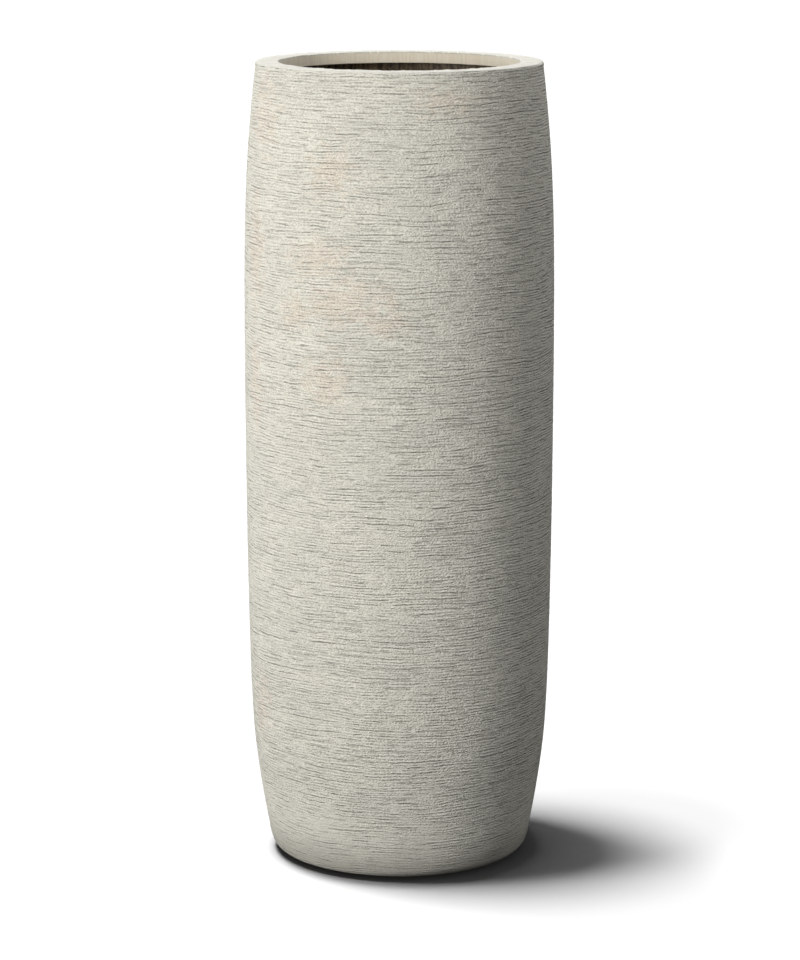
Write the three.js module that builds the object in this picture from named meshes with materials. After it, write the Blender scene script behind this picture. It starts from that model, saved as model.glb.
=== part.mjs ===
// A tall, slightly barrel-shaped planter: a glass-fibre laminate shell with a combed stone-effect coat,
// a bonded rim collar, a bonded bottom with a drain hole and its rubber stopper, and four rubber pads.
// Millimetres, +Z up. The origin is on the floor, under the planter's axis.
import * as THREE from "three";

// ---- Driving dimensions ----------------------------------------------------------------------------
const HEIGHT = 900; // floor to the top of the rim
const STAND_HEIGHT = 3; // how far the pads hold the foot off the floor

// The finished outer surface passes four stations, each with its radius, height and lean (mm of radius
// gained per mm of height). The widest station stands upright.
const RIM_RADIUS = 159.3;
const RIM_LEAN = -0.111;
const BELLY_RADIUS = 173.2;
const BELLY_HEIGHT = 595;
const KNEE_RADIUS = 165.3;
const KNEE_HEIGHT = 136;
const KNEE_LEAN = 0.096;
const FOOT_RADIUS = 146.5;
const FOOT_LEAN = 0.235;
const FOOT_ROUNDING = 17; // radius of the bottom edge

// Walls, from the outside in.
const COAT_THICKNESS = 3;
const LAMINATE_THICKNESS = 5;
const FIT_GAP = 0.3; // glue line or running clearance between two fitted pieces

// Rim collar.
const RIM_WIDTH = 25.7; // outer edge to the mouth
const PLATE_THICKNESS = 5; // flat top of the collar
const LIP_DEPTH = 13; // top of the rim to the lower edge of the lip that hangs in the mouth
const LIP_THICKNESS = 4;
const SPIGOT_DEPTH = 8; // ring under the plate that centres the collar in the shell
const SPIGOT_THICKNESS = 4;
const RIM_BOND_THICKNESS = 2.4; // paste between the spigot and the shell, at its top
const RIM_OUTER_ROUNDING = 4;
const RIM_INNER_ROUNDING = 2.5;

// Bottom, drain and pads.
const PANEL_THICKNESS = 6;
const DRAIN_RADIUS = 13;
const BEAD_HEIGHT = 26; // fillet bead that ties the bottom to the wall
const BEAD_WIDTH = 24;
const BEAD_EDGE = 1; // thickness of the bead where it runs out
const STOPPER_OVERLAP = 5; // head of the stopper past the hole
const STOPPER_HEAD = 4;
const STOPPER_CROWN = 1.2; // rise of the head towards its centre
const STOPPER_TAPER = 0.5; // the stem is this much slimmer at its end
const STOPPER_REACH = 1; // stem below the bottom panel
const STOPPER_ROUNDING = 1.5;
const COAT_RETURN = 8; // coat carried on under the foot, past the rounding
const PAD_COUNT = 4;
const PAD_RADIUS = 9;
const PAD_MARGIN = 2; // flange left bare on each side of a pad
const RUBBER_CHAMFER = 0.8; // softened edges of the pads and of the stopper's stem

// How far each station pulls the curve, as a share of the height to the next station.
const PULL = { rim: 0.287, bellyUp: 0.537, bellyDown: 0.449, kneeUp: 0.124, kneeDown: 0.4, foot: 0.165 };

// Facets of the round pieces, and points along the outline.
const SHELL_FACETS = 48;
const SMALL_FACETS = 32;
const ROWS = { foot: 4, lower: 4, middle: 5, upper: 5 };
const ROUNDING_ROWS = 3;

// ---- Derived places --------------------------------------------------------------------------------
const SHELL_TOP = HEIGHT - PLATE_THICKNESS; // the collar's plate rests here
const MOUTH_RADIUS = RIM_RADIUS - RIM_WIDTH;
const FOOT_ANGLE = Math.atan(FOOT_LEAN);
const FOOT_HEIGHT = STAND_HEIGHT + FOOT_ROUNDING * (1 - Math.sin(FOOT_ANGLE));
const FOOT_CENTRE = new THREE.Vector2( // centre of the bottom edge's rounding
  FOOT_RADIUS - FOOT_ROUNDING * Math.cos(FOOT_ANGLE),
  STAND_HEIGHT + FOOT_ROUNDING,
);
const LAMINATE_OUTSIDE = COAT_THICKNESS + FIT_GAP; // depths below the finished surface
const LAMINATE_INSIDE = LAMINATE_OUTSIDE + LAMINATE_THICKNESS;
const LINING = LAMINATE_INSIDE + FIT_GAP; // what fits inside the shell follows this line
const FLANGE_UNDERSIDE = STAND_HEIGHT + LAMINATE_OUTSIDE;
const PANEL_BOTTOM = STAND_HEIGHT + LAMINATE_INSIDE;
const PANEL_TOP = PANEL_BOTTOM + PANEL_THICKNESS;
const COAT_END_RADIUS = FOOT_CENTRE.x - COAT_RETURN;
const FLANGE_RADIUS = COAT_END_RADIUS - 2 * (PAD_RADIUS + PAD_MARGIN);
const PAD_CIRCLE = (COAT_END_RADIUS + FLANGE_RADIUS) / 2;

const point = (r, z) => new THREE.Vector2(r, z);

// ---- Outline ---------------------------------------------------------------------------------------

// The finished surface between two stations, from the lower to the upper one.
function stretch(low, lowLean, lowPull, high, highLean, highPull) {
  const span = high.y - low.y;
  const leave = point(low.x + lowLean * lowPull * span, low.y + lowPull * span);
  const arrive = point(high.x - highLean * highPull * span, high.y - highPull * span);
  return new THREE.CubicBezierCurve(low, leave, arrive, high);
}

const foot = point(FOOT_RADIUS, FOOT_HEIGHT);
const knee = point(KNEE_RADIUS, KNEE_HEIGHT);
const belly = point(BELLY_RADIUS, BELLY_HEIGHT);
const rim = point(RIM_RADIUS, SHELL_TOP);
const WALL_STRETCHES = [
  [stretch(foot, FOOT_LEAN, PULL.foot, knee, KNEE_LEAN, PULL.kneeDown), ROWS.lower],
  [stretch(knee, KNEE_LEAN, PULL.kneeUp, belly, 0, PULL.bellyDown), ROWS.middle],
  [stretch(belly, 0, PULL.bellyUp, rim, RIM_LEAN, PULL.rim), ROWS.upper],
];

// Points on a round edge, from one angle to another.
function arc(centre, radius, from, to, rows) {
  return Array.from({ length: rows + 1 }, (_, i) => {
    const angle = from + ((to - from) * i) / rows;
    return point(centre.x + radius * Math.cos(angle), centre.y + radius * Math.sin(angle));
  });
}

// The wall at a depth below the finished surface, from the flat of the foot up to the shell's top.
function wallLine(depth) {
  const line = arc(FOOT_CENTRE, FOOT_ROUNDING - depth, -Math.PI / 2, -FOOT_ANGLE, ROWS.foot);
  for (const [curve, rows] of WALL_STRETCHES) {
    for (let i = 1; i <= rows; i++) {
      const inward = curve.getTangent(i / rows).rotateAround(point(0, 0), Math.PI / 2);
      line.push(curve.getPoint(i / rows).addScaledVector(inward, depth));
    }
  }
  const end = line.at(-1);
  end.x += (SHELL_TOP - end.y) * RIM_LEAN; // run on to the flat top
  end.y = SHELL_TOP;
  return line;
}

// The stretch of a wall line between two heights, with both ends cut level.
function between(line, low, high) {
  const radiusAt = (z) => {
    const i = Math.max(1, line.findIndex((p) => p.y >= z));
    const share = (z - line[i - 1].y) / (line[i].y - line[i - 1].y);
    return line[i - 1].x + share * (line[i].x - line[i - 1].x);
  };
  const inside = line.filter((p) => p.y > low && p.y < high);
  return [point(radiusAt(low), low), ...inside, point(radiusAt(high), high)];
}

// ---- Meshes ----------------------------------------------------------------------------------------

function finish(colour, roughness) {
  return new THREE.MeshStandardMaterial({ color: colour, roughness, metalness: 0 });
}

// A turned piece about +Z. A profile off the axis is closed on itself; its points run with the solid on
// their left.
function turned(name, profile, facets, material) {
  const ring = profile[0].x > 0 ? [...profile, profile[0].clone()] : profile;
  const geometry = new THREE.LatheGeometry(ring, facets).rotateX(Math.PI / 2);
  const mesh = new THREE.Mesh(geometry, material);
  mesh.name = name;
  return mesh;
}

// The combed stone-effect skin over the whole outside, turned in under the foot.
function outerCoat() {
  const profile = [
    point(COAT_END_RADIUS, STAND_HEIGHT),
    ...wallLine(0),
    ...wallLine(COAT_THICKNESS).reverse(),
    point(COAT_END_RADIUS, STAND_HEIGHT + COAT_THICKNESS),
  ];
  return turned("outer_coat", profile, SHELL_FACETS, finish(0xd6d1bf, 0.92));
}

// The glass-fibre wall that carries everything, with the foot turned in as a flange.
function shellLaminate() {
  const profile = [
    point(FLANGE_RADIUS, FLANGE_UNDERSIDE),
    ...wallLine(LAMINATE_OUTSIDE),
    ...wallLine(LAMINATE_INSIDE).reverse(),
    point(FLANGE_RADIUS, PANEL_BOTTOM),
  ];
  return turned("shell_laminate", profile, SHELL_FACETS, finish(0x46392b, 0.7));
}

const lining = wallLine(LINING);
const SPIGOT_RADIUS = lining.at(-1).x - RIM_BOND_THICKNESS - FIT_GAP;

// The flat rim: plate, lip in the mouth and a spigot that centres it in the shell.
function rimCollar() {
  const outer = point(RIM_RADIUS - RIM_OUTER_ROUNDING, HEIGHT - RIM_OUTER_ROUNDING);
  const inner = point(MOUTH_RADIUS + RIM_INNER_ROUNDING, HEIGHT - RIM_INNER_ROUNDING);
  const profile = [
    point(RIM_RADIUS, SHELL_TOP),
    ...arc(outer, RIM_OUTER_ROUNDING, 0, Math.PI / 2, ROUNDING_ROWS),
    ...arc(inner, RIM_INNER_ROUNDING, Math.PI / 2, Math.PI, ROUNDING_ROWS),
    point(MOUTH_RADIUS, HEIGHT - LIP_DEPTH),
    point(MOUTH_RADIUS + LIP_THICKNESS, HEIGHT - LIP_DEPTH),
    point(MOUTH_RADIUS + LIP_THICKNESS, SHELL_TOP),
    point(SPIGOT_RADIUS - SPIGOT_THICKNESS, SHELL_TOP),
    point(SPIGOT_RADIUS - SPIGOT_THICKNESS, SHELL_TOP - SPIGOT_DEPTH),
    point(SPIGOT_RADIUS, SHELL_TOP - SPIGOT_DEPTH),
    point(SPIGOT_RADIUS, SHELL_TOP),
  ];
  return turned("rim_collar", profile, SHELL_FACETS, finish(0xe4ddcb, 0.85));
}

// Bonding paste between the collar's spigot and the shell.
function rimBond() {
  const profile = [
    point(SPIGOT_RADIUS + FIT_GAP, SHELL_TOP - SPIGOT_DEPTH),
    ...between(lining, SHELL_TOP - SPIGOT_DEPTH, SHELL_TOP),
    point(SPIGOT_RADIUS + FIT_GAP, SHELL_TOP),
  ];
  return turned("rim_bond", profile, SHELL_FACETS, finish(0x55452f, 0.6));
}

// The bottom, lying on the foot's flange, its edge shaped to the wall's rounding.
function basePanel() {
  const profile = [
    point(DRAIN_RADIUS, PANEL_BOTTOM),
    point(FOOT_CENTRE.x - FIT_GAP, PANEL_BOTTOM),
    ...between(lining, lining[0].y, PANEL_TOP),
    point(DRAIN_RADIUS, PANEL_TOP),
  ];
  return turned("base_panel", profile, SHELL_FACETS, finish(0x4b3f31, 0.7));
}

// The hollow bead of laminating paste in the corner between the bottom and the wall.
function baseFillet() {
  const wall = between(lining, PANEL_TOP, PANEL_TOP + BEAD_HEIGHT);
  const top = wall.at(-1);
  const toe = point(wall[0].x - BEAD_WIDTH, PANEL_TOP);
  const hollow = new THREE.QuadraticBezierCurve(
    point(top.x - BEAD_EDGE, top.y),
    point(wall[0].x - BEAD_EDGE, PANEL_TOP + BEAD_EDGE),
    point(toe.x, toe.y + BEAD_EDGE),
  );
  const profile = [toe, ...wall, ...hollow.getPoints(ROUNDING_ROWS)];
  return turned("base_fillet", profile, SHELL_FACETS, finish(0x57462f, 0.55));
}

// The rubber stopper: a head on the bottom panel and a tapered stem through the drain hole.
function drainPlug() {
  const stem = DRAIN_RADIUS - FIT_GAP;
  const end = stem - STOPPER_TAPER;
  const head = DRAIN_RADIUS + STOPPER_OVERLAP;
  const tip = PANEL_BOTTOM - STOPPER_REACH;
  const shoulder = point(head - STOPPER_ROUNDING, PANEL_TOP + STOPPER_HEAD - STOPPER_ROUNDING);
  const profile = [
    point(0, tip),
    point(end - RUBBER_CHAMFER, tip),
    point(end, tip + RUBBER_CHAMFER),
    point(stem, PANEL_TOP),
    point(head, PANEL_TOP),
    ...arc(shoulder, STOPPER_ROUNDING, 0, Math.PI / 2, ROUNDING_ROWS),
    point(0, PANEL_TOP + STOPPER_HEAD + STOPPER_CROWN),
  ];
  return turned("drain_plug", profile, SMALL_FACETS, finish(0x242424, 0.6));
}

// One rubber pad under the foot's flange.
function footPad(index) {
  const profile = [
    point(0, 0),
    point(PAD_RADIUS - RUBBER_CHAMFER, 0),
    point(PAD_RADIUS, RUBBER_CHAMFER),
    point(PAD_RADIUS, FLANGE_UNDERSIDE),
    point(0, FLANGE_UNDERSIDE),
  ];
  const pad = turned(`foot_pad_${index + 1}`, profile, SMALL_FACETS, finish(0x2a2a2a, 0.8));
  const turn = ((index + 0.5) * 2 * Math.PI) / PAD_COUNT;
  pad.position.set(PAD_CIRCLE * Math.cos(turn), PAD_CIRCLE * Math.sin(turn), 0);
  return pad;
}

const planter = new THREE.Group();
planter.add(outerCoat(), shellLaminate(), rimCollar(), rimBond(), basePanel(), baseFillet(), drainPlug());
for (let index = 0; index < PAD_COUNT; index++) planter.add(footPad(index));

export default planter;
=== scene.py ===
# A tall, slightly barrel-shaped planter: the looks of its eleven pieces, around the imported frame.
# Metres, +Z up. The origin is on the floor, under the planter's axis, and -Y faces the viewer.
import math

import bpy
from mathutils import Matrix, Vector


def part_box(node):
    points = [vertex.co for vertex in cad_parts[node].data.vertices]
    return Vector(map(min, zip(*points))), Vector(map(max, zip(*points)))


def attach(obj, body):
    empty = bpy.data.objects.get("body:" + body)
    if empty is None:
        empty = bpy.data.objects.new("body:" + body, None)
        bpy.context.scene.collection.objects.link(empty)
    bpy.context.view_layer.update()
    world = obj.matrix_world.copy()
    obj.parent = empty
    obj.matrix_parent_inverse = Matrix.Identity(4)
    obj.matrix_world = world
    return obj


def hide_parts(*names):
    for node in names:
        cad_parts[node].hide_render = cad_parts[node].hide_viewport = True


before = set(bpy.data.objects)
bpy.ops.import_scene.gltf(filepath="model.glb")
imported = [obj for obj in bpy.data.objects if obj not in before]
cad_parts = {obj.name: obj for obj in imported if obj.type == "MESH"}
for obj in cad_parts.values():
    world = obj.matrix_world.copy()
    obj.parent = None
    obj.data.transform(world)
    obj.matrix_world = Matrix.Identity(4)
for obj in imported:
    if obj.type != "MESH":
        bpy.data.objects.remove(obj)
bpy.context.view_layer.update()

MM = 0.001
TURN = 2 * math.pi


# ---- Small tools -------------------------------------------------------------------------------------

def linear(code):
    """A "#rrggbb" colour as the linear red, green, blue and alpha that a shader takes."""
    channels = [int(code[i:i + 2], 16) / 255 for i in (1, 3, 5)]
    return tuple(c / 12.92 if c <= 0.04045 else ((c + 0.055) / 1.055) ** 2.4 for c in channels) + (1.0,)


def shown(sockets, name=None):
    """The socket with that number, or the first socket in use, with that name if one is given."""
    if isinstance(name, int):
        return sockets[name]
    return next(socket for socket in sockets if socket.enabled and name in (None, socket.name))


def add(tree, kind, inputs=None, **settings):
    """Adds a node with its settings. Each input takes a value, a socket, or a node's first output."""
    node = tree.nodes.new(kind)
    for name, value in settings.items():
        setattr(node, name, value)
    for name, value in (inputs or {}).items():
        if isinstance(value, bpy.types.Node):
            value = shown(value.outputs)
        if isinstance(value, bpy.types.NodeSocket):
            tree.links.new(value, shown(node.inputs, name))
        else:
            shown(node.inputs, name).default_value = value
    return node


def select_only(piece):
    """Leaves the piece as the one selected and active object."""
    bpy.ops.object.select_all(action="DESELECT")
    piece.select_set(True)
    bpy.context.view_layer.objects.active = piece


# ---- Outlines ----------------------------------------------------------------------------------------

SAME_RING = 0.05 * MM  # rings of a CAD piece that lie this close together are one


def section(node):
    """The outline that a turned CAD piece was spun from, as (radius, height) vectors.
    It starts at the lowest, innermost corner and runs outwards along the bottom first."""
    corners, corner_of = [], []
    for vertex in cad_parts[node].data.vertices:
        spot = Vector((math.hypot(vertex.co.x, vertex.co.y), vertex.co.z))
        known = next((i for i, corner in enumerate(corners) if (corner - spot).length < SAME_RING), None)
        if known is None:
            known = len(corners)
            corners.append(spot)
        corner_of.append(known)
    beside = {i: set() for i in range(len(corners))}
    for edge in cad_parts[node].data.edges:
        a, b = (corner_of[i] for i in edge.vertices)
        if a != b:
            beside[a].add(b)
            beside[b].add(a)
    start = min(beside, key=lambda i: (round(corners[i].y / SAME_RING), corners[i].x))
    path = [start, max(beside[start], key=lambda i: corners[i].x)]
    while True:
        onward = [i for i in beside[path[-1]] if i not in path]
        if not onward:
            return [corners[i] for i in path]
        path.append(onward[0])


def two_sides(node):
    """The outer line of a turned wall, foot to top, and its inner line, top to foot."""
    outline = section(node)
    top = max(range(len(outline)), key=lambda i: (round(outline[i].y / SAME_RING), outline[i].x))
    return outline[:top + 1], outline[top + 1:]


def smooth(points, step):
    """A smooth line through the points, with a point about every step along it."""
    lengths = [(b - a).length for a, b in zip(points, points[1:])]
    slopes = [(b - a) / length for a, b, length in zip(points, points[1:], lengths)]
    leans = [slopes[0]]
    for slope, length, next_slope, next_length in zip(slopes, lengths, slopes[1:], lengths[1:]):
        leans.append((slope * next_length + next_slope * length) / (length + next_length))
    leans.append(slopes[-1])
    line = []
    for a, b, length, leave, arrive in zip(points, points[1:], lengths, leans, leans[1:]):
        count = max(1, round(length / step))
        for i in range(count):
            t = i / count
            line.append(a * (2 * t ** 3 - 3 * t ** 2 + 1) + b * (3 * t ** 2 - 2 * t ** 3)
                        + leave * length * (t ** 3 - 2 * t ** 2 + t) + arrive * length * (t ** 3 - t ** 2))
    return line + [points[-1]]


def straight(corners, step):
    """A line through the corners, kept sharp, with a point about every step along it."""
    line = []
    for a, b in zip(corners, corners[1:]):
        count = max(1, round((b - a).length / step))
        line += [a.lerp(b, i / count) for i in range(count)]
    return line + [corners[-1]]


def rounded(corners, rows):
    """An outline through (radius, height, rounding) corners; a rounded one turns in that many rows."""
    line = []
    spots = [Vector(corner[:2]) for corner in corners]
    for i, (spot, corner) in enumerate(zip(spots, corners)):
        if corner[2] == 0:
            line.append(spot)
            continue
        before = (spots[i - 1] - spot).normalized()
        after = (spots[(i + 1) % len(spots)] - spot).normalized()
        half = before.angle(after) / 2
        centre = spot + (before + after).normalized() * corner[2] / math.sin(half)
        start = spot + before * corner[2] / math.tan(half) - centre
        end = spot + after * corner[2] / math.tan(half) - centre
        for row in range(rows + 1):
            line.append(centre + (start.lerp(end, row / rows)).normalized() * corner[2])
    return line


# ---- Places that several pieces and patterns share ---------------------------------------------------

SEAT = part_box("outer_coat")[1].z  # the rim's plate rests on the wall here
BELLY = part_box("outer_coat")[1].x  # the widest radius
RIM_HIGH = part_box("rim_collar")[1]  # the rim's outer radius as x, its top as z
MOUTH = section("rim_collar")[0].x  # the lip's radius


# ---- Turned pieces -----------------------------------------------------------------------------------

def spun(name, outline, steps, about=(0, 0)):
    """A turned piece: its outline is drawn vertex by vertex and spun once round a vertical axis.
    An outline off the axis is closed on itself; one that starts and ends on the axis closes at its poles."""
    bpy.ops.object.select_all(action="DESELECT")
    bpy.ops.mesh.primitive_plane_add(size=MM, location=(about[0] + outline[0].x, about[1], outline[0].y))
    piece = bpy.context.object
    piece.name = piece.data.name = name
    bpy.ops.object.transform_apply(location=True, rotation=True, scale=True)
    bpy.ops.object.mode_set(mode="EDIT")
    bpy.ops.mesh.select_all(action="SELECT")
    bpy.ops.mesh.merge(type="CENTER")
    chain = outline if max(outline[0].x, outline[-1].x) < SAME_RING else outline + outline[:1]
    for here, there in zip(chain, chain[1:]):
        bpy.ops.mesh.extrude_vertices_move(
            TRANSFORM_OT_translate={"value": (there.x - here.x, 0, there.y - here.y)})
    bpy.ops.mesh.select_all(action="SELECT")
    bpy.ops.mesh.spin(steps=steps, angle=TURN, center=(about[0], about[1], 0), axis=(0, 0, 1))
    bpy.ops.mesh.select_all(action="SELECT")
    bpy.ops.mesh.remove_doubles(threshold=SAME_RING / 2)
    bpy.ops.mesh.normals_make_consistent(inside=False)
    bpy.ops.object.mode_set(mode="OBJECT")
    return piece


def relieved(piece, height):
    """Moves the piece's surface in or out by the height in millimetres that a pattern gives there."""
    tree = bpy.data.node_groups.new(piece.name + "_relief", "GeometryNodeTree")
    for way in ("INPUT", "OUTPUT"):
        tree.interface.new_socket("Geometry", in_out=way, socket_type="NodeSocketGeometry")
    start = add(tree, "NodeGroupInput")
    place = add(tree, "GeometryNodeInputPosition")
    normal = add(tree, "GeometryNodeInputNormal")
    metres = product(tree, height(tree, place, normal), MM)
    offset = add(tree, "ShaderNodeVectorMath", {0: normal, "Scale": metres}, operation="SCALE")
    moved = add(tree, "GeometryNodeSetPosition", {"Geometry": start, "Offset": offset})
    add(tree, "NodeGroupOutput", {0: moved})
    select_only(piece)
    modifier = piece.modifiers.new("relief", "NODES")
    modifier.node_group = tree
    bpy.ops.object.modifier_apply(modifier=modifier.name)
    bpy.data.node_groups.remove(tree)
    return piece


def placed(piece, body, node, finish, crease=40):
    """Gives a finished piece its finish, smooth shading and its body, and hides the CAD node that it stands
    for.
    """
    select_only(piece)
    bpy.ops.object.shade_smooth_by_angle(angle=math.radians(crease))
    piece.data.materials.clear()
    piece.data.materials.append(finish)
    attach(piece, body)
    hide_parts(node)


# ---- Patterns, shared by the relief of a piece and by its material -------------------------------------

def total(tree, *values):
    """The sum of some values."""
    so_far = values[0]
    for value in values[1:]:
        so_far = add(tree, "ShaderNodeMath", {0: so_far, 1: value}, operation="ADD")
    return so_far


def product(tree, *values):
    """The product of some values."""
    so_far = values[0]
    for value in values[1:]:
        so_far = add(tree, "ShaderNodeMath", {0: so_far, 1: value}, operation="MULTIPLY")
    return so_far


def change(tree, value, low, high, start=0.0, end=1.0, kind="SMOOTHSTEP"):
    """Start below low, end above high, and a soft change from one to the other."""
    return add(tree, "ShaderNodeMapRange", {"Value": value, "From Min": low, "From Max": high,
                                            "To Min": start, "To Max": end}, interpolation_type=kind)


def streaks(tree, place, run, rise, detail=2.0, shift=0.0):
    """Random values around 0.5, in patches about `run` mm long sideways and `rise` mm high."""
    across, up = 1 / (run * MM), 1 / (rise * MM)
    drawn_out = add(tree, "ShaderNodeVectorMath",
                    {0: place, 1: (across, across, up), 2: (shift, shift, shift)}, operation="MULTIPLY_ADD")
    return add(tree, "ShaderNodeTexNoise", {"Vector": drawn_out, "Scale": 1.0, "Detail": detail})


def waves(tree, place, run, rise, swing, detail=2.0, shift=0.0):
    """Streaks that swing by about that many millimetres either way."""
    return change(tree, streaks(tree, place, run, rise, detail, shift), 0.25, 0.75, -swing, swing, "LINEAR")


def height_of(tree, place):
    return add(tree, "ShaderNodeSeparateXYZ", {0: place}).outputs["Z"]


def flattened(tree, place):
    """The place brought straight down to the floor."""
    return add(tree, "ShaderNodeVectorMath", {0: place, 1: (1, 1, 0)}, operation="MULTIPLY")


def radius_of(tree, place):
    return add(tree, "ShaderNodeVectorMath", {0: flattened(tree, place)}, operation="LENGTH")


def facing_out(tree, place, normal):
    """How far a surface faces away from the planter's axis, from -1 to 1."""
    outwards = add(tree, "ShaderNodeVectorMath", {0: flattened(tree, place)}, operation="NORMALIZE")
    return add(tree, "ShaderNodeVectorMath", {0: outwards, 1: normal}, operation="DOT_PRODUCT")


# The comb's marks, in millimetres on the wall.
TEETH_APART = 3.2
GROOVES_APART = 6
GROOVE_WIDTH = 1.1
GROOVE_DEPTH = 0.85
GROOVE_RUN = 26  # about how far a groove goes before it breaks off
# Patterns that both a piece's colour and its relief follow.
LIP_BRUSH = {"run": 2.4, "rise": 30, "detail": 2, "shift": 69}
LAMINATE_BRUSH = {"run": 3.2, "rise": 60, "detail": 2, "shift": 71}


def line_number(tree, place, pitch, swing, bend):
    """Counts lines up the wall, that many millimetres apart, each bent up and down by the swing."""
    return total(tree, product(tree, height_of(tree, place), 1 / (pitch * MM)), product(tree, swing, bend))


def combing(tree, place):
    """The combed coat's height in millimetres, above 0 on the crests and below 0 in the grooves."""
    # The comb wanders up and down by a few millimetres, and the wet coat tears in small steps.
    wander = waves(tree, place, 110, 60, 2.5, detail=1)
    tear = waves(tree, place, 13, 6, 0.45, detail=2, shift=7)
    lift = add(tree, "ShaderNodeCombineXYZ", {"Z": product(tree, total(tree, wander, tear), MM)})
    dragged = add(tree, "ShaderNodeVectorMath", {0: place, 1: lift}, operation="ADD")

    # Marks of the comb's teeth that come and go.
    swing = streaks(tree, place, 46, 11, detail=2, shift=57)
    turns = product(tree, line_number(tree, dragged, TEETH_APART, swing, 1.2), TURN)
    pressed = change(tree, streaks(tree, place, 26, 9, detail=1, shift=63), 0.38, 0.6, 0.15, 1)
    teeth = product(tree, add(tree, "ShaderNodeMath", {0: turns}, operation="COSINE"), pressed, 0.34)

    # Deeper single grooves. Each breaks off by itself, because it reads the noise on a level of its own.
    swing = streaks(tree, place, 42, 16, detail=2, shift=41)
    lines = line_number(tree, dragged, GROOVES_APART, swing, 1.2)
    across = total(tree, add(tree, "ShaderNodeMath", {0: lines}, operation="FRACT"), -0.5)
    away = add(tree, "ShaderNodeMath", {0: across}, operation="ABSOLUTE")
    groove = change(tree, away, 0, GROOVE_WIDTH / 2 / GROOVES_APART, 1, 0)
    levels_apart = 146 * MM
    level = product(tree, add(tree, "ShaderNodeMath", {0: lines}, operation="FLOOR"), levels_apart)
    raised = add(tree, "ShaderNodeCombineXYZ", {"Z": level})
    own_level = add(tree, "ShaderNodeVectorMath", {0: flattened(tree, place), 1: raised}, operation="ADD")
    cut = change(tree, streaks(tree, own_level, GROOVE_RUN, GROOVE_RUN, detail=1), 0.46, 0.56)

    # Fine drag lines and crumbs of the mineral filler.
    fine = waves(tree, dragged, 13, 1, 0.24, detail=1, shift=19)
    crumbs = waves(tree, place, 2.1, 1.2, 0.34, detail=0, shift=29)
    height = total(tree, teeth, product(tree, groove, cut, -GROOVE_DEPTH), fine, crumbs)
    calm = change(tree, height_of(tree, place), 10 * MM, 140 * MM, 0.6, 1)
    return product(tree, height, calm)


def trowelling(tree, place):
    """The rim's height in millimetres: pressed smooth, with slow waves and a fine mineral tooth."""
    return total(tree, waves(tree, place, 22, 22, 0.14, detail=2, shift=61),
                 waves(tree, place, 1.8, 1.8, 0.035, detail=2, shift=67))


def nibs(tree, place):
    """1 on the crumbs left standing along the rim's edges, each about 2 mm across, and 0 between them."""
    return change(tree, streaks(tree, place, 3.4, 3.4, detail=1, shift=131), 0.56, 0.68)


def rim_side(tree, place):
    """1 on the rim's outer side, where the comb ran on up from the wall, and 0 on its top and lip."""
    return product(
        tree, change(tree, radius_of(tree, place), RIM_HIGH.x - 2.2 * MM, RIM_HIGH.x - 1.2 * MM),
        change(tree, height_of(tree, place), RIM_HIGH.z - 1.6 * MM, RIM_HIGH.z - 0.6 * MM, 1, 0))


def rim_edge(tree, place):
    """1 along the rim's inner edge and 0 elsewhere."""
    return product(
        tree, change(tree, radius_of(tree, place), MOUTH + 0.5 * MM, MOUTH + 2.5 * MM, 1, 0),
        change(tree, height_of(tree, place), RIM_HIGH.z - 4 * MM, RIM_HIGH.z - 1.5 * MM))


def lip_face(tree, place):
    """1 down the inside of the lip and 0 on the rim's top."""
    return product(
        tree, change(tree, radius_of(tree, place), MOUTH + 0.8 * MM, MOUTH + 2 * MM, 1, 0),
        change(tree, height_of(tree, place), RIM_HIGH.z - 2.5 * MM, RIM_HIGH.z - 0.8 * MM, 1, 0))


def rim_skin(tree, place):
    """Trowelled on top, brushed down the lip and combed up the outer side."""
    side = rim_side(tree, place)
    brushed = product(tree, waves(tree, place, swing=0.05, **LIP_BRUSH), lip_face(tree, place))
    pressed = total(tree, trowelling(tree, place), brushed)
    return total(tree, product(tree, pressed, total(tree, 1, product(tree, side, -1))),
                 product(tree, combing(tree, place), side))


def strands(tree, place):
    """Glass strands in cured resin, 0 between them and 1 on them: runs that climb the wall three ways.
    Real strands are about 1 mm wide; these are drawn twice as wide, to show from a few steps away."""
    found = 0.0
    for twist, shift in ((0, 3), (7, 13), (-7, 23)):  # radians round the axis per metre of height
        angle = product(tree, height_of(tree, place), twist)
        turned = add(tree, "ShaderNodeVectorRotate", {"Vector": place, "Angle": angle},
                     rotation_type="Z_AXIS")
        strand = change(tree, streaks(tree, turned, 2.2, 34, detail=1, shift=shift), 0.58, 0.68)
        found = add(tree, "ShaderNodeMath", {0: found, 1: strand}, operation="MAXIMUM")
    return found


def laying(tree, place):
    """The laminate's height in millimetres: brush runs up the wall, lumps of mat and proud strands."""
    return total(tree, waves(tree, place, swing=0.22, **LAMINATE_BRUSH),
                 waves(tree, place, 26, 34, 0.5, detail=1, shift=73),
                 product(tree, strands(tree, place), 0.18))


# ---- Materials ---------------------------------------------------------------------------------------

def mixed(tree, factor, first, second):
    """One colour at factor 0, the other at 1. A colour is a "#rrggbb" code or another mix."""
    colours = {name: linear(value) if isinstance(value, str) else value
               for name, value in (("A", first), ("B", second))}
    return add(tree, "ShaderNodeMix", {"Factor": factor, **colours}, data_type="RGBA")


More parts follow.
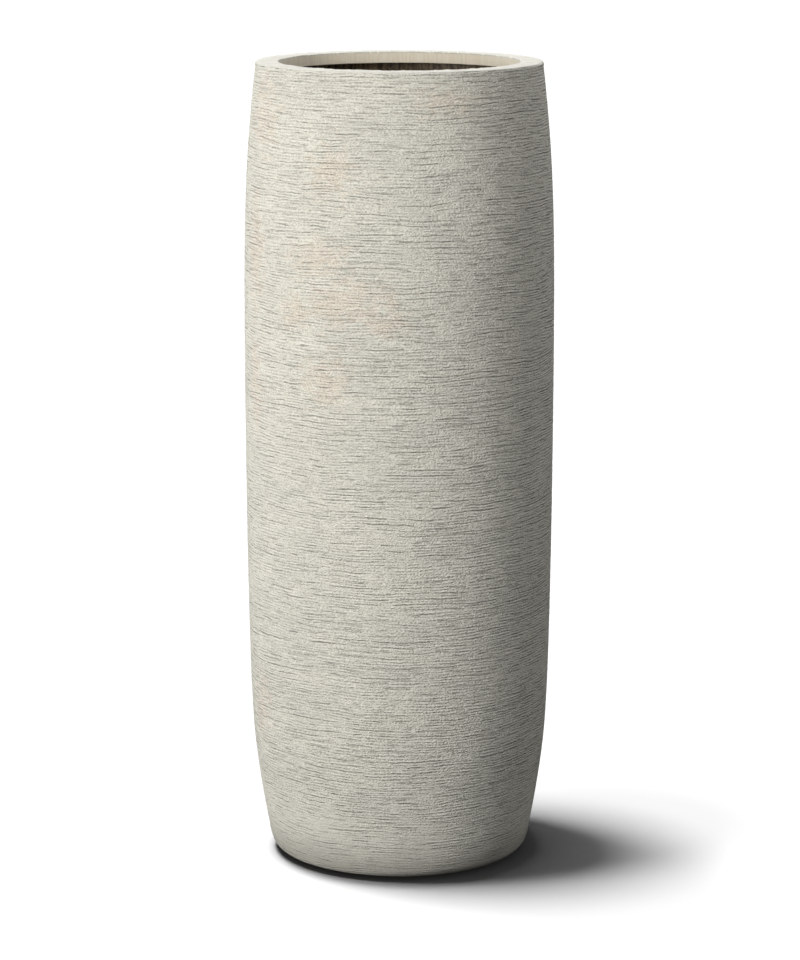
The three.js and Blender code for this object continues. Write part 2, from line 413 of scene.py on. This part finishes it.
def material(name, colour, roughness, relief, **constants):
    """A material whose colour, roughness and relief in millimetres are patterns on the piece."""
    made = bpy.data.materials.new(name)
    made.use_nodes = True
    tree = made.node_tree
    tree.nodes.clear()
    place = add(tree, "ShaderNodeTexCoord").outputs["Object"]
    bump = add(tree, "ShaderNodeBump", {"Height": relief(tree, place), "Distance": MM})
    shader = add(tree, "ShaderNodeBsdfPrincipled", {
        "Base Color": colour(tree, place), "Roughness": roughness(tree, place), "Normal": bump,
        **{key.replace("_", " "): value for key, value in constants.items()}})
    add(tree, "ShaderNodeOutputMaterial", {"Surface": shader})
    return made


# Where the coat was rubbed thin and a tan ground shows through: angle round from the front in degrees,
# height, half width and half height in millimetres. The last row is on the back.
WARM_PATCHES = (
    (-26, 790, 26, 30), (-30, 700, 34, 20), (-18, 655, 50, 26), (-7, 632, 26, 14), (-27, 568, 26, 30),
    (-66, 560, 16, 50), (-67, 182, 22, 34), (-64, 850, 30, 40), (-66, 700, 22, 60), (19, 868, 40, 16),
    (-40, 640, 22, 20),
    (150, 740, 45, 35), (205, 520, 60, 24), (118, 300, 40, 30), (243, 840, 34, 20), (175, 150, 40, 26),
)


def warmth(tree, place):
    """1 in the middle of the tan patches and 0 away from them, with ragged edges."""
    ragged = waves(tree, place, 16, 7, 0.9, detail=3, shift=83)
    found = 0.0
    for angle, height, half_width, half_height in WARM_PATCHES:
        turn = math.radians(angle)
        spot = (BELLY * math.sin(turn), -BELLY * math.cos(turn), height * MM)
        from_spot = add(tree, "ShaderNodeVectorMath", {0: place, 1: spot}, operation="SUBTRACT")
        scaled = add(tree, "ShaderNodeVectorMath", {
            0: from_spot, 1: (1 / (half_width * MM), 1 / (half_width * MM), 1 / (half_height * MM))},
            operation="MULTIPLY")
        distance = add(tree, "ShaderNodeVectorMath", {0: scaled}, operation="LENGTH")
        patch = change(tree, total(tree, distance, ragged), 0.2, 1.5, 1, 0)
        found = add(tree, "ShaderNodeMath", {0: found, 1: patch}, operation="MAXIMUM")
    return found


def coat_colour(tree, place):
    """Cream, tan where it was rubbed thin, brown-grey in the grooves as part dirt and part painted shade,
    paler on the crests as a painted highlight and greyer at the foot as painted shade."""
    clouds = change(tree, streaks(tree, place, 70, 30, detail=3, shift=51), 0.35, 0.65)
    cream = mixed(tree, clouds, "#dcd9cd", "#e3e0d3")
    tanned = mixed(tree, product(tree, warmth(tree, place), 0.55), cream, "#e4d5c4")
    height = combing(tree, place)
    # Crests mixed towards near-white: a painted highlight.
    painted_crest_highlight = mixed(tree, change(tree, height, 0, 0.4, 0, 0.45, "LINEAR"), tanned, "#fffdf4")
    # Grooves mixed towards brown-grey: part dirt in the hollows, part painted shade.
    combed = mixed(tree, change(tree, height, -GROOVE_DEPTH, 0, 0.65, 0, "LINEAR"), painted_crest_highlight, "#736e60")
    # The lowest few centimetres mixed towards grey: painted shade at the foot.
    painted_foot_shade = change(tree, height_of(tree, place), 12 * MM, 52 * MM, 0.55, 0)
    return mixed(tree, painted_foot_shade, combed, "#8d897f")


def rim_colour(tree, place):
    """Pale cream with trowelled clouds, whiter crumbs along the inner edge, tan down the lip, and the
    wall's colours, with their painted groove shade and crest highlight, up the outer side."""
    clouds = change(tree, streaks(tree, place, 18, 18, detail=3, shift=91), 0.35, 0.65)
    cream = mixed(tree, clouds, "#d3d0c6", "#dcd9cf")
    brushed = mixed(tree, change(tree, streaks(tree, place, **LIP_BRUSH), 0.35, 0.65),
                    "#f3e9d3", "#f9f1e0")
    lipped = mixed(tree, lip_face(tree, place), cream, brushed)
    crumbed = mixed(tree, product(tree, nibs(tree, place), rim_edge(tree, place)), lipped, "#f6f2e6")
    return mixed(tree, rim_side(tree, place), crumbed, coat_colour(tree, place))


def laminate_colour(tree, place):
    """Dark brown resin, streaked along the brush, with paler strands near the surface."""
    runs = change(tree, streaks(tree, place, **LAMINATE_BRUSH), 0.35, 0.65)
    resin = mixed(tree, runs, "#463b2c", "#796951")
    specks = change(tree, streaks(tree, place, 2.4, 5, detail=1, shift=97), 0.66, 0.72, 0, 0.6)
    stained = mixed(tree, specks, resin, "#2c251b")
    return mixed(tree, product(tree, strands(tree, place), 0.5), stained, "#908066")


def paste_colour(tree, place):
    """Amber-brown paste, darker where it is thick, with pale specks of filler."""
    thick = change(tree, streaks(tree, place, 20, 12, detail=2, shift=101), 0.35, 0.65)
    filler = change(tree, streaks(tree, place, 1.6, 1.6, detail=0, shift=103), 0.7, 0.76, 0, 0.5)
    return mixed(tree, filler, mixed(tree, thick, "#5d4a30", "#45371f"), "#8a7a5a")


def rubber_colour(tree, place):
    """Carbon-black rubber with a grey bloom."""
    bloom = change(tree, streaks(tree, place, 7, 7, detail=3, shift=107), 0.45, 0.75)
    return mixed(tree, bloom, "#1d1d1c", "#34332f")


def even(value, swing, size, shift):
    """A roughness around the value, a little different from place to place."""
    return lambda tree, place: total(tree, value, waves(tree, place, size, size, swing, shift=shift))


def rubber_skin(tree, place):
    """The faint orange peel of a moulding."""
    return waves(tree, place, 0.7, 0.7, 0.02, detail=1, shift=109)


def paste_skin(tree, place):
    """Drags of the tool, drawn out sideways, and small pits."""
    return total(tree, waves(tree, place, 14, 3, 0.25, detail=2, shift=113),
                 waves(tree, place, 2, 2, 0.05, detail=1, shift=115))


# Mineral-filled coat, combed wet round the wall: dead matt, crumbly, with thin dark grooves.
# Its colour paints shade into the grooves, on top of some dirt, and a highlight onto the crests.
COMBED_COAT = material("mineral_coat_combed", coat_colour, even(0.92, 0.04, 8, 121), combing,
                       IOR=1.5, Specular_IOR_Level=0.25, Diffuse_Roughness=0.6)
# The same coat trowelled smooth on the rim: a little paler and tighter, still matt.
TROWELLED_COAT = material("mineral_coat_trowelled", rim_colour, even(0.85, 0.06, 10, 123), rim_skin,
                          IOR=1.5, Specular_IOR_Level=0.3, Diffuse_Roughness=0.5)
# Hand-laid glass fibre in dark polyester resin: a dull brown shine broken by brush runs and strands.
LAID_LAMINATE = material("glass_fibre_hand_laid", laminate_colour, even(0.5, 0.2, 6, 125), laying,
                         IOR=1.55)
# Polyester bonding paste, smoothed with a round tool: amber-brown and waxy.
TOOLED_PASTE = material("polyester_paste_tooled", paste_colour, even(0.45, 0.15, 9, 127), paste_skin,
                        IOR=1.56)
# EPDM rubber, moulded: near black, soft sheen, a grey bloom.
MOULDED_RUBBER = material("epdm_rubber_moulded", rubber_colour, even(0.6, 0.1, 5, 129), rubber_skin,
                          IOR=1.52)


# ---- The outer coat ----------------------------------------------------------------------------------

COAT_COLUMNS = 120
COAT_ROW = 1.18 * MM  # about the width of a groove, so that the combing is in the mesh too
COAT_SHARE = 0.4  # of the combing's height goes into the mesh, and the bump draws it sharper
HIDDEN_ROW = 30 * MM


def coat_relief(tree, place, normal):
    """The combing, on the outside only, run out to nothing where the coat meets the rim."""
    outside = change(tree, facing_out(tree, place, normal), 0.15, 0.4)
    below_seat = change(tree, height_of(tree, place), SEAT - 1.5 * MM, SEAT, 1, 0)
    return product(tree, combing(tree, place), outside, below_seat, COAT_SHARE)


def outer_coat():
    """The combed coat, rim to foot. Its hidden inner face follows the CAD's."""
    outside, inside = two_sides("outer_coat")
    outline = smooth(outside, COAT_ROW) + smooth(inside, HIDDEN_ROW)
    return relieved(spun("combed_outer_coat", outline, COAT_COLUMNS), coat_relief)


# ---- The rim -----------------------------------------------------------------------------------------

RIM_COLUMNS = 240
RIM_ROW = 1.5 * MM
OUTER_ROUNDING = 2.2 * MM  # a worn corner, tighter than a moulded one
INNER_ROUNDING = 1.3 * MM
LIP_ROUNDING = 0.9 * MM
SPIGOT_ROUNDING = 0.6 * MM


def rim_relief(tree, place, normal):
    """Trowel waves on what shows, the comb's ends up the outer edge, and crumbs along both edges."""
    shows = change(tree, height_of(tree, place), SEAT + 0.1 * MM, SEAT + MM)
    lip = change(tree, radius_of(tree, place), MOUTH + 3 * MM, MOUTH + 3.5 * MM, 1, 0)
    visible = add(tree, "ShaderNodeMath", {0: shows, 1: lip}, operation="MAXIMUM")
    outer_side = product(tree, change(tree, facing_out(tree, place, normal), 0.2, 0.7), shows)
    uneven = total(tree, product(tree, nibs(tree, place), 0.5),
                   waves(tree, place, 17, 17, 0.45, detail=1, shift=133))
    return total(tree, product(tree, trowelling(tree, place), visible),
                 product(tree, combing(tree, place), outer_side, 0.7),
                 product(tree, uneven, rim_edge(tree, place)),
                 product(tree, nibs(tree, place), outer_side, 0.25))


def rim_collar():
    """A flat plate on top of the wall, with a lip down the mouth and a spigot down inside the shell."""
    low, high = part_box("rim_collar")
    outline = section("rim_collar")
    mouth, lip_back, spigot_front, spigot_back = sorted(
        corner.x for corner in outline if corner.y < low.z + SAME_RING)
    corners = [
        (mouth, low.z, LIP_ROUNDING), (lip_back, low.z, LIP_ROUNDING), (lip_back, SEAT, 0),
        (spigot_front, SEAT, 0), (spigot_front, low.z, SPIGOT_ROUNDING),
        (spigot_back, low.z, SPIGOT_ROUNDING), (spigot_back, SEAT, 0),
        (high.x, SEAT, 0), (high.x, high.z, OUTER_ROUNDING), (mouth, high.z, INNER_ROUNDING),
    ]
    line = straight(rounded(corners, 6), RIM_ROW)
    return relieved(spun("trowelled_rim_collar", line, RIM_COLUMNS), rim_relief)


def bond_relief(tree, place, normal):
    """Squeezed paste, uneven along its lower edge."""
    free = change(tree, height_of(tree, place), SEAT - 8 * MM, SEAT - 5 * MM, 1, 0)
    return product(tree, waves(tree, place, 9, 9, 0.25, shift=137), free)


def rim_bond():
    """The paste between the rim's spigot and the shell, rounded off along its lower edge."""
    foot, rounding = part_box("rim_bond")[0].z, 0.5 * MM
    corners = [(corner.x, corner.y, rounding if corner.y < foot + SAME_RING else 0)
               for corner in section("rim_bond")]
    line = straight(rounded(corners, 3), RIM_ROW)
    return relieved(spun("rim_bonding_paste", line, RIM_COLUMNS), bond_relief)


# ---- The glass-fibre shell ---------------------------------------------------------------------------

SHELL_COLUMNS = 160
SHELL_ROW = 6 * MM


def shell_relief(tree, place, normal):
    """The laying of the mat, on the inside only, between the bottom's fillet and the rim's spigot."""
    inside = change(tree, facing_out(tree, place, normal), -0.5, -0.8)
    fillet_top, spigot_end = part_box("base_fillet")[1].z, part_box("rim_bond")[0].z
    height = height_of(tree, place)
    free = product(tree, change(tree, height, fillet_top, fillet_top + 12 * MM),
                   change(tree, height, spigot_end - 4 * MM, spigot_end, 1, 0))
    return product(tree, laying(tree, place), inside, free)


def shell_laminate():
    """The glass-fibre wall and the flange its foot turns in to."""
    outside, inside = two_sides("shell_laminate")
    outline = smooth(outside, HIDDEN_ROW / 2) + smooth(inside, SHELL_ROW)
    return relieved(spun("laid_shell_laminate", outline, SHELL_COLUMNS), shell_relief)


# ---- The bottom --------------------------------------------------------------------------------------

BOTTOM_ROW = 3 * MM


def panel_relief(tree, place, normal):
    """Lumps of mat on both faces, flat under the stopper, the fillet and on the flange."""
    radius = radius_of(tree, place)
    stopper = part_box("drain_plug")[1].x
    covered = min(section("base_fillet")[0].x, section("shell_laminate")[0].x)
    open_face = product(tree, change(tree, radius, stopper + MM, stopper + 6 * MM),
                        change(tree, radius, covered - 5 * MM, covered, 1, 0))
    return product(tree, waves(tree, place, 14, 14, 0.5, detail=2, shift=141), open_face)


def base_panel():
    """The bottom, a disc of laminate with a drain hole worn round at its edges."""
    outline = section("base_panel")
    hole, rounding = min(corner.x for corner in outline), 0.7 * MM
    corners = [(corner.x, corner.y, rounding if corner.x < hole + SAME_RING else 0) for corner in outline]
    line = straight(rounded(corners, 3), BOTTOM_ROW)
    return relieved(spun("laid_base_panel", line, SHELL_COLUMNS), panel_relief)


def fillet_relief(tree, place, normal):
    """Tool drags round the bead and an uneven toe, on the hollow side only."""
    up = add(tree, "ShaderNodeSeparateXYZ", {0: normal}).outputs["Z"]
    outwards = facing_out(tree, place, normal)
    free = product(tree, change(tree, outwards, 0.1, -0.2), change(tree, up, -0.4, 0))
    return product(tree, waves(tree, place, 18, 5, 0.8, detail=2, shift=151), free)


def base_fillet():
    """The bead of paste that ties the bottom to the wall."""
    outside, inside = two_sides("base_fillet")
    outline = straight(outside, BOTTOM_ROW) + smooth(inside, BOTTOM_ROW / 2)
    return relieved(spun("tooled_base_fillet", outline, SHELL_COLUMNS), fillet_relief)


# ---- The stopper and the pads ------------------------------------------------------------------------

RUBBER_STEPS = 72


def drain_plug():
    """A moulded stopper: tapered stem, round-edged head with a ring groove and a dimple in its crown."""
    low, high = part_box("drain_plug")
    outline = section("drain_plug")
    panel_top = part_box("base_panel")[1].z
    stem = max(corner.x for corner in outline if corner.y < panel_top + SAME_RING and corner.x < high.x - MM)
    end = max(corner.x for corner in outline if corner.y < panel_top - MM)
    rim = max(corner.y for corner in outline if corner.x > high.x - SAME_RING)
    edge = high.z - 1.2 * MM  # the crown rises from here
    groove, dimple = 11 * MM, 3.5 * MM  # radii
    corners = [
        (0, low.z, 0), (end, low.z, 0.8 * MM), (stem, panel_top, 0), (high.x, panel_top, 0.3 * MM),
        (high.x, edge, edge - rim), (groove + 1.4 * MM, edge + 0.3 * MM, 0.3 * MM),
        (groove + 1.1 * MM, edge - 0.3 * MM, 0.2 * MM), (groove, edge - 0.3 * MM, 0.2 * MM),
        (groove - 0.3 * MM, edge + 0.5 * MM, 0.3 * MM), (dimple, high.z, 0.5 * MM),
        (dimple - MM, high.z - 0.6 * MM, 0.4 * MM), (0, high.z - 0.8 * MM, 0),
    ]
    return spun("moulded_drain_plug", straight(rounded(corners, 4), BOTTOM_ROW), RUBBER_STEPS)


def foot_pads():
    """One moulded pad with two grip rings in its underside, then a copy of it at each of the others."""
    nodes = sorted(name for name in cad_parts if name.startswith("foot_pad"))
    centres = [sum(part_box(node), Vector()) / 2 for node in nodes]
    low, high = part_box(nodes[0])
    radius = (high.x - low.x) / 2
    depth, bevel = 0.7 * MM, 0.8 * MM
    corners = [(0, 0, 0)]
    for ring in (radius / 3, radius * 2 / 3):  # two grooves in the face that meets the floor
        corners += [(ring - 0.8 * MM, 0, 0.15 * MM), (ring - 0.5 * MM, depth, 0.2 * MM),
                    (ring + 0.5 * MM, depth, 0.2 * MM), (ring + 0.8 * MM, 0, 0.15 * MM)]
    corners += [(radius, 0, bevel), (radius, high.z, 0.2 * MM), (0, high.z, 0)]
    first = spun("moulded_foot_pad_1", rounded(corners, 3), RUBBER_STEPS, about=centres[0][:2])
    pads = [first]
    for number, centre in enumerate(centres[1:], start=2):
        select_only(first)
        bpy.ops.object.duplicate(linked=False)
        copy = bpy.context.object
        copy.name = copy.data.name = f"moulded_foot_pad_{number}"
        bpy.ops.object.mode_set(mode="EDIT")
        bpy.ops.mesh.select_all(action="SELECT")
        bpy.ops.transform.translate(value=centre - centres[0])
        bpy.ops.object.mode_set(mode="OBJECT")
        pads.append(copy)
    return list(zip(pads, nodes))


# ---- Studio ------------------------------------------------------------------------------------------

FLOOR_SIZE = 60  # metres, so that its edge stays far off in every view


def soft_light(name, place, aim, size, watts):
    """A rectangular soft light that the camera doesn't see."""
    data = bpy.data.lights.new(name, "AREA")
    data.shape, data.size, data.size_y = "RECTANGLE", *size
    data.energy = watts
    light = bpy.data.objects.new(name, data)
    light.location = place
    light.rotation_euler = (Vector(aim) - Vector(place)).to_track_quat("-Z", "Y").to_euler()
    light.visible_camera = False
    bpy.context.collection.objects.link(light)
    return light


def floor_light(name, azimuth, elevation, spread, strength):
    """A far soft light from that direction, in degrees; azimuth 0 is the viewer's side."""
    data = bpy.data.lights.new(name, "SUN")
    data.angle, data.energy = math.radians(spread), strength
    light = bpy.data.objects.new(name, data)
    light.rotation_euler = (math.radians(90 - elevation), 0, math.radians(azimuth))
    bpy.context.collection.objects.link(light)
    return light


def only_for(lights, floor, state):
    """The lights shine on the floor alone (INCLUDE) or on everything but the floor (EXCLUDE)."""
    group = bpy.data.collections.new(f"{state.lower()}_floor")
    group.objects.link(floor)
    group.collection_objects[0].light_linking.link_state = state
    for light in lights:
        light.light_linking.receiver_collection = group


def studio():
    """A pale floor under a white sky, with softboxes in front, above and behind. The floor has lights of
    its own, far off and nearly overhead, that burn it out to white round the shadow."""
    bpy.context.scene.view_settings.view_transform = "Standard"
    bpy.ops.object.select_all(action="DESELECT")
    bpy.ops.mesh.primitive_plane_add(size=FLOOR_SIZE)
    floor = bpy.context.object
    floor.name = "studio_floor"
    floor.visible_diffuse = floor.visible_glossy = False  # no light bounces up from it
    paint = bpy.data.materials.new("pale_floor_paint")
    paint.use_nodes = True
    sockets = paint.node_tree.nodes["Principled BSDF"].inputs
    sockets["Base Color"].default_value = linear("#aaaaaa")
    sockets["Roughness"].default_value = 0.9
    sockets["Specular IOR Level"].default_value = 0
    floor.data.materials.append(paint)

    world = bpy.data.worlds.new("studio")
    world.use_nodes = True
    tree = world.node_tree
    tree.nodes.clear()
    way = add(tree, "ShaderNodeSeparateXYZ", {0: add(tree, "ShaderNodeTexCoord").outputs["Generated"]})
    dim, pale, white_out = 0.05, 0.09, 1.05  # from below, from above, and as the camera sees it
    sky = change(tree, way.outputs["Z"], -0.05, 0.05, dim, pale)
    eye = add(tree, "ShaderNodeLightPath").outputs["Is Camera Ray"]
    strength = add(tree, "ShaderNodeMix", {"Factor": eye, "A": sky, "B": white_out})
    white = add(tree, "ShaderNodeBackground", {"Color": (0.97, 0.99, 1.03, 1), "Strength": strength})
    add(tree, "ShaderNodeOutputWorld", {"Surface": white})
    bpy.context.scene.world = world

    middle, mouth = (0, 0, 0.45), (0, 0, 0.9)
    panel = (0.9, 0.7)  # width and height of a standing softbox
    only_for([
        soft_light("key_softbox", (-1.286, -1.532, 1.1), middle, panel, 30.5),
        soft_light("low_softbox", (-1.286, -1.532, 0.4), middle, panel, 7),
        soft_light("left_softbox", (-1.813, 0.845, 1.1), middle, panel, 5.8),
        soft_light("right_softbox", (1.414, -1.414, 1.9), middle, panel, 11.8),
        soft_light("top_softbox", (0, 0.9, 1.9), mouth, (1.2, 0.8), 17.5),
        soft_light("over_softbox", (0, 0, 2.6), mouth, (1.2, 1.2), 9),
        soft_light("back_softbox", (0.2, 2.2, 1.2), middle, (1.6, 1.2), 15),
    ], floor, "EXCLUDE")
    only_for([floor_light("floor_key", -104.1, 80.5, 10.5, 5.75),
              floor_light("floor_front", -73.1, 72.5, 7, 1.45),
              floor_light("floor_side", -125.8, 72.8, 7, 1.0),
              floor_light("floor_top", -170.4, 89, 9, 0.45)], floor, "INCLUDE")


EYE = (0.7 * MM, -3.836, 1.1993)  # fitted to the planter's outline in the photograph, as are the next two
LOOKS_DOWN = 11.37  # degrees
LENS = 129.8  # millimetres, on a sensor 36 mm wide


def camera():
    """The photograph's view: 3.84 m away and 0.3 m above the rim."""
    data = bpy.data.cameras.new("camera")
    data.sensor_width = 36
    data.lens = LENS
    eye = bpy.data.objects.new("camera", data)
    eye.location = EYE
    eye.rotation_euler = (math.radians(90 - LOOKS_DOWN), 0, 0)
    bpy.context.collection.objects.link(eye)
    bpy.context.scene.camera = eye


# ---- Everything in its place -------------------------------------------------------------------------

camera()
studio()
placed(outer_coat(), "planter", "outer_coat", COMBED_COAT, crease=180)
placed(rim_collar(), "planter", "rim_collar", TROWELLED_COAT)
placed(rim_bond(), "planter", "rim_bond", TOOLED_PASTE)
placed(shell_laminate(), "planter", "shell_laminate", LAID_LAMINATE)
placed(base_panel(), "planter", "base_panel", LAID_LAMINATE)
placed(base_fillet(), "planter", "base_fillet", TOOLED_PASTE)
placed(drain_plug(), "stopper", "drain_plug", MOULDED_RUBBER)
for pad, pad_node in foot_pads():
    placed(pad, "planter", pad_node, MOULDED_RUBBER)
